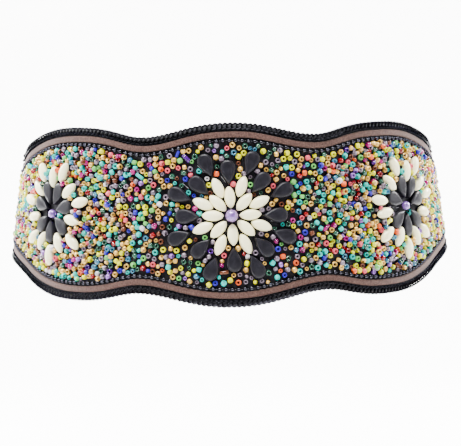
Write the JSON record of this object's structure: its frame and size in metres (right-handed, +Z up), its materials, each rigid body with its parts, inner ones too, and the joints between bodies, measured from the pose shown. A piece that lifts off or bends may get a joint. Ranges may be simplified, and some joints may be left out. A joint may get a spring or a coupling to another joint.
{
  "type": "beaded belt",
  "caption": "Wide scalloped waist belt: a stiff panel set with stone flowers and seed beads, edged with chain and suede, closed behind by elastic and a clasp.",
  "frame": {"origin": "middle of the waist, on the loop's upright axis at half the belt's height", "axes": "+Z up as worn, -Y out of the decorated front, +X to the right of the front view"},
  "size_m": [0.2608, 0.2103, 0.0998],
  "materials": {
    "panel_leather": "matt black leather",
    "curb_chain": "glossy black lacquer",
    "ball_chain": "glossy black lacquer",
    "suede_lace": "napped suede",
    "cream_stone": "smooth satin",
    "black_stone": "satin",
    "lilac_pearl": "pearlescent",
    "seed_beads": "glossy opaque glass in many colours",
    "thread": "sewing thread",
    "elastic": "ribbed woven elastic",
    "clasp": "black plated, satin"
  },
  "bodies": {
    "root": {"front_panel": "panel_leather", "curb_chain_top": "curb_chain", "suede_strip_top": "suede_lace", "ball_chain_top": "ball_chain", "curb_chain_bottom": "curb_chain", "suede_strip_bottom": "suede_lace", "ball_chain_bottom": "ball_chain", "centre_pearl": "lilac_pearl", "cream_inner_1": "cream_stone", "cream_inner_2": "cream_stone", "cream_inner_3": "cream_stone", "cream_inner_4": "cream_stone", "cream_inner_5": "cream_stone", "cream_inner_6": "cream_stone", "cream_inner_7": "cream_stone", "cream_inner_8": "cream_stone", "cream_outer_1": "cream_stone", "cream_outer_2": "cream_stone", "cream_outer_3": "cream_stone", "cream_outer_4": "cream_stone", "cream_outer_5": "cream_stone", "cream_outer_6": "cream_stone", "cream_outer_7": "cream_stone", "cream_outer_8": "cream_stone", "black_inner_1": "black_stone", "black_inner_2": "black_stone", "black_inner_3": "black_stone", "black_inner_4": "black_stone", "black_inner_5": "black_stone", "black_inner_6": "black_stone", "black_inner_7": "black_stone", "black_inner_8": "black_stone", "black_outer_1": "black_stone", "black_outer_2": "black_stone", "black_outer_3": "black_stone", "black_outer_4": "black_stone", "black_outer_5": "black_stone", "black_outer_6": "black_stone", "black_outer_7": "black_stone", "black_outer_8": "black_stone", "left_pearl": "lilac_pearl", "left_flower_petals": "black_stone", "left_flower_ovals": "cream_stone", "right_pearl": "lilac_pearl", "right_flower_petals": "black_stone", "right_flower_ovals": "cream_stone", "elastic_right": "elastic", "elastic_left": "elastic", "back_clasp": "clasp"}
  },
  "joints": []
}
